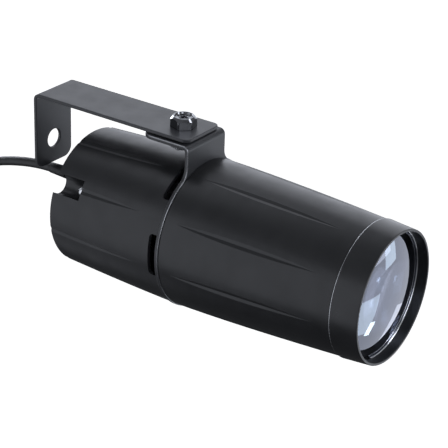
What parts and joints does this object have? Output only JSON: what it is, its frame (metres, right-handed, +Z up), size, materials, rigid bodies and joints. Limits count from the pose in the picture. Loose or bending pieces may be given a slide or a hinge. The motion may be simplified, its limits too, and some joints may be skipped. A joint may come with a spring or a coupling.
{
  "type": "small spotlight with strap bracket",
  "caption": "Small tapered stage spotlight with a convex front lens, hung from a bent strap bracket on a pivot bolt, with a mains lead and plug.",
  "frame": {"origin": "centre of the mounting hole in the bracket's leg, in the middle of the strap's thickness", "axes": "+X along the beam, towards the lens; +Z up, along the pivot bolt; +Y to the lamp's left"},
  "size_m": [0.3407, 0.0856, 0.2533],
  "materials": {
    "bracket_paint": "satin powder coat",
    "plate_paint": "satin powder coat",
    "housing_black": "satin, fine texture",
    "ring_black": "satin",
    "bright_steel": "polished",
    "zinc_steel": "bright zinc",
    "black_fibre": "matte",
    "black_rubber": "matte",
    "lens_glass": "polished, lavender coating",
    "cast_aluminium": "cast",
    "pad_grey": "matte",
    "board_white": "solder mask",
    "phosphor": "silicone dome",
    "clear_acrylic": "polished",
    "black_plastic": "moulded",
    "brass": "turned",
    "board_green": "solder mask",
    "transformer_tape": "tape",
    "capacitor_sleeve": "sleeve",
    "terminal_white": "moulded",
    "fuse_ceramic": "ceramic",
    "wire_red": "insulation",
    "wire_blue": "insulation",
    "lead_pvc": "smooth flexible sheath",
    "tie_fabric": "hook-and-loop strap",
    "plug_plastic": "moulded",
    "pin_metal": "nickel plated"
  },
  "bodies": {
    "bracket": {"bracket": "bracket_paint"},
    "lamp": {"friction_washer": "black_fibre", "pivot_nut": "zinc_steel", "mount_plate": "plate_paint", "front_shell": "housing_black", "rear_shell": "housing_black", "housing_screws": "bright_steel", "lens_ring": "ring_black", "lens_gasket": "black_rubber", "front_lens": "lens_glass", "retaining_ring": "bright_steel", "heat_sink": "cast_aluminium", "sink_screws": "zinc_steel", "thermal_pad": "pad_grey", "led_board": "board_white", "led_emitter": "phosphor", "board_screws": "zinc_steel", "collimator": "clear_acrylic", "collimator_holder": "black_plastic", "standoffs": "brass", "driver_board": "board_green", "driver_screws": "zinc_steel", "transformer": "transformer_tape", "capacitors": "capacitor_sleeve", "terminal_block": "terminal_white", "fuse": "fuse_ceramic", "led_wires": "wire_red", "supply_wires": "wire_blue", "strain_relief": "black_rubber", "mains_lead": "lead_pvc", "lead_hank": "lead_pvc", "lead_tie": "tie_fabric", "plug_body": "plug_plastic", "plug_pins": "pin_metal"},
    "clamp_bolt": {"pivot_bolt": "bright_steel"}
  },
  "joints": [
    {"name": "pan", "type": "hinge", "parent": "bracket", "child": "lamp", "pos_m": [0.0929, 0, 0.0293], "axis": [0, 0, 1], "range_deg": [-135, 135]},
    {"name": "bolt_turn", "type": "hinge", "parent": "lamp", "child": "clamp_bolt", "pos_m": [0.0929, 0, 0.0293], "axis": [0, 0, 1], "range_deg": [0, 360]}
  ]
}
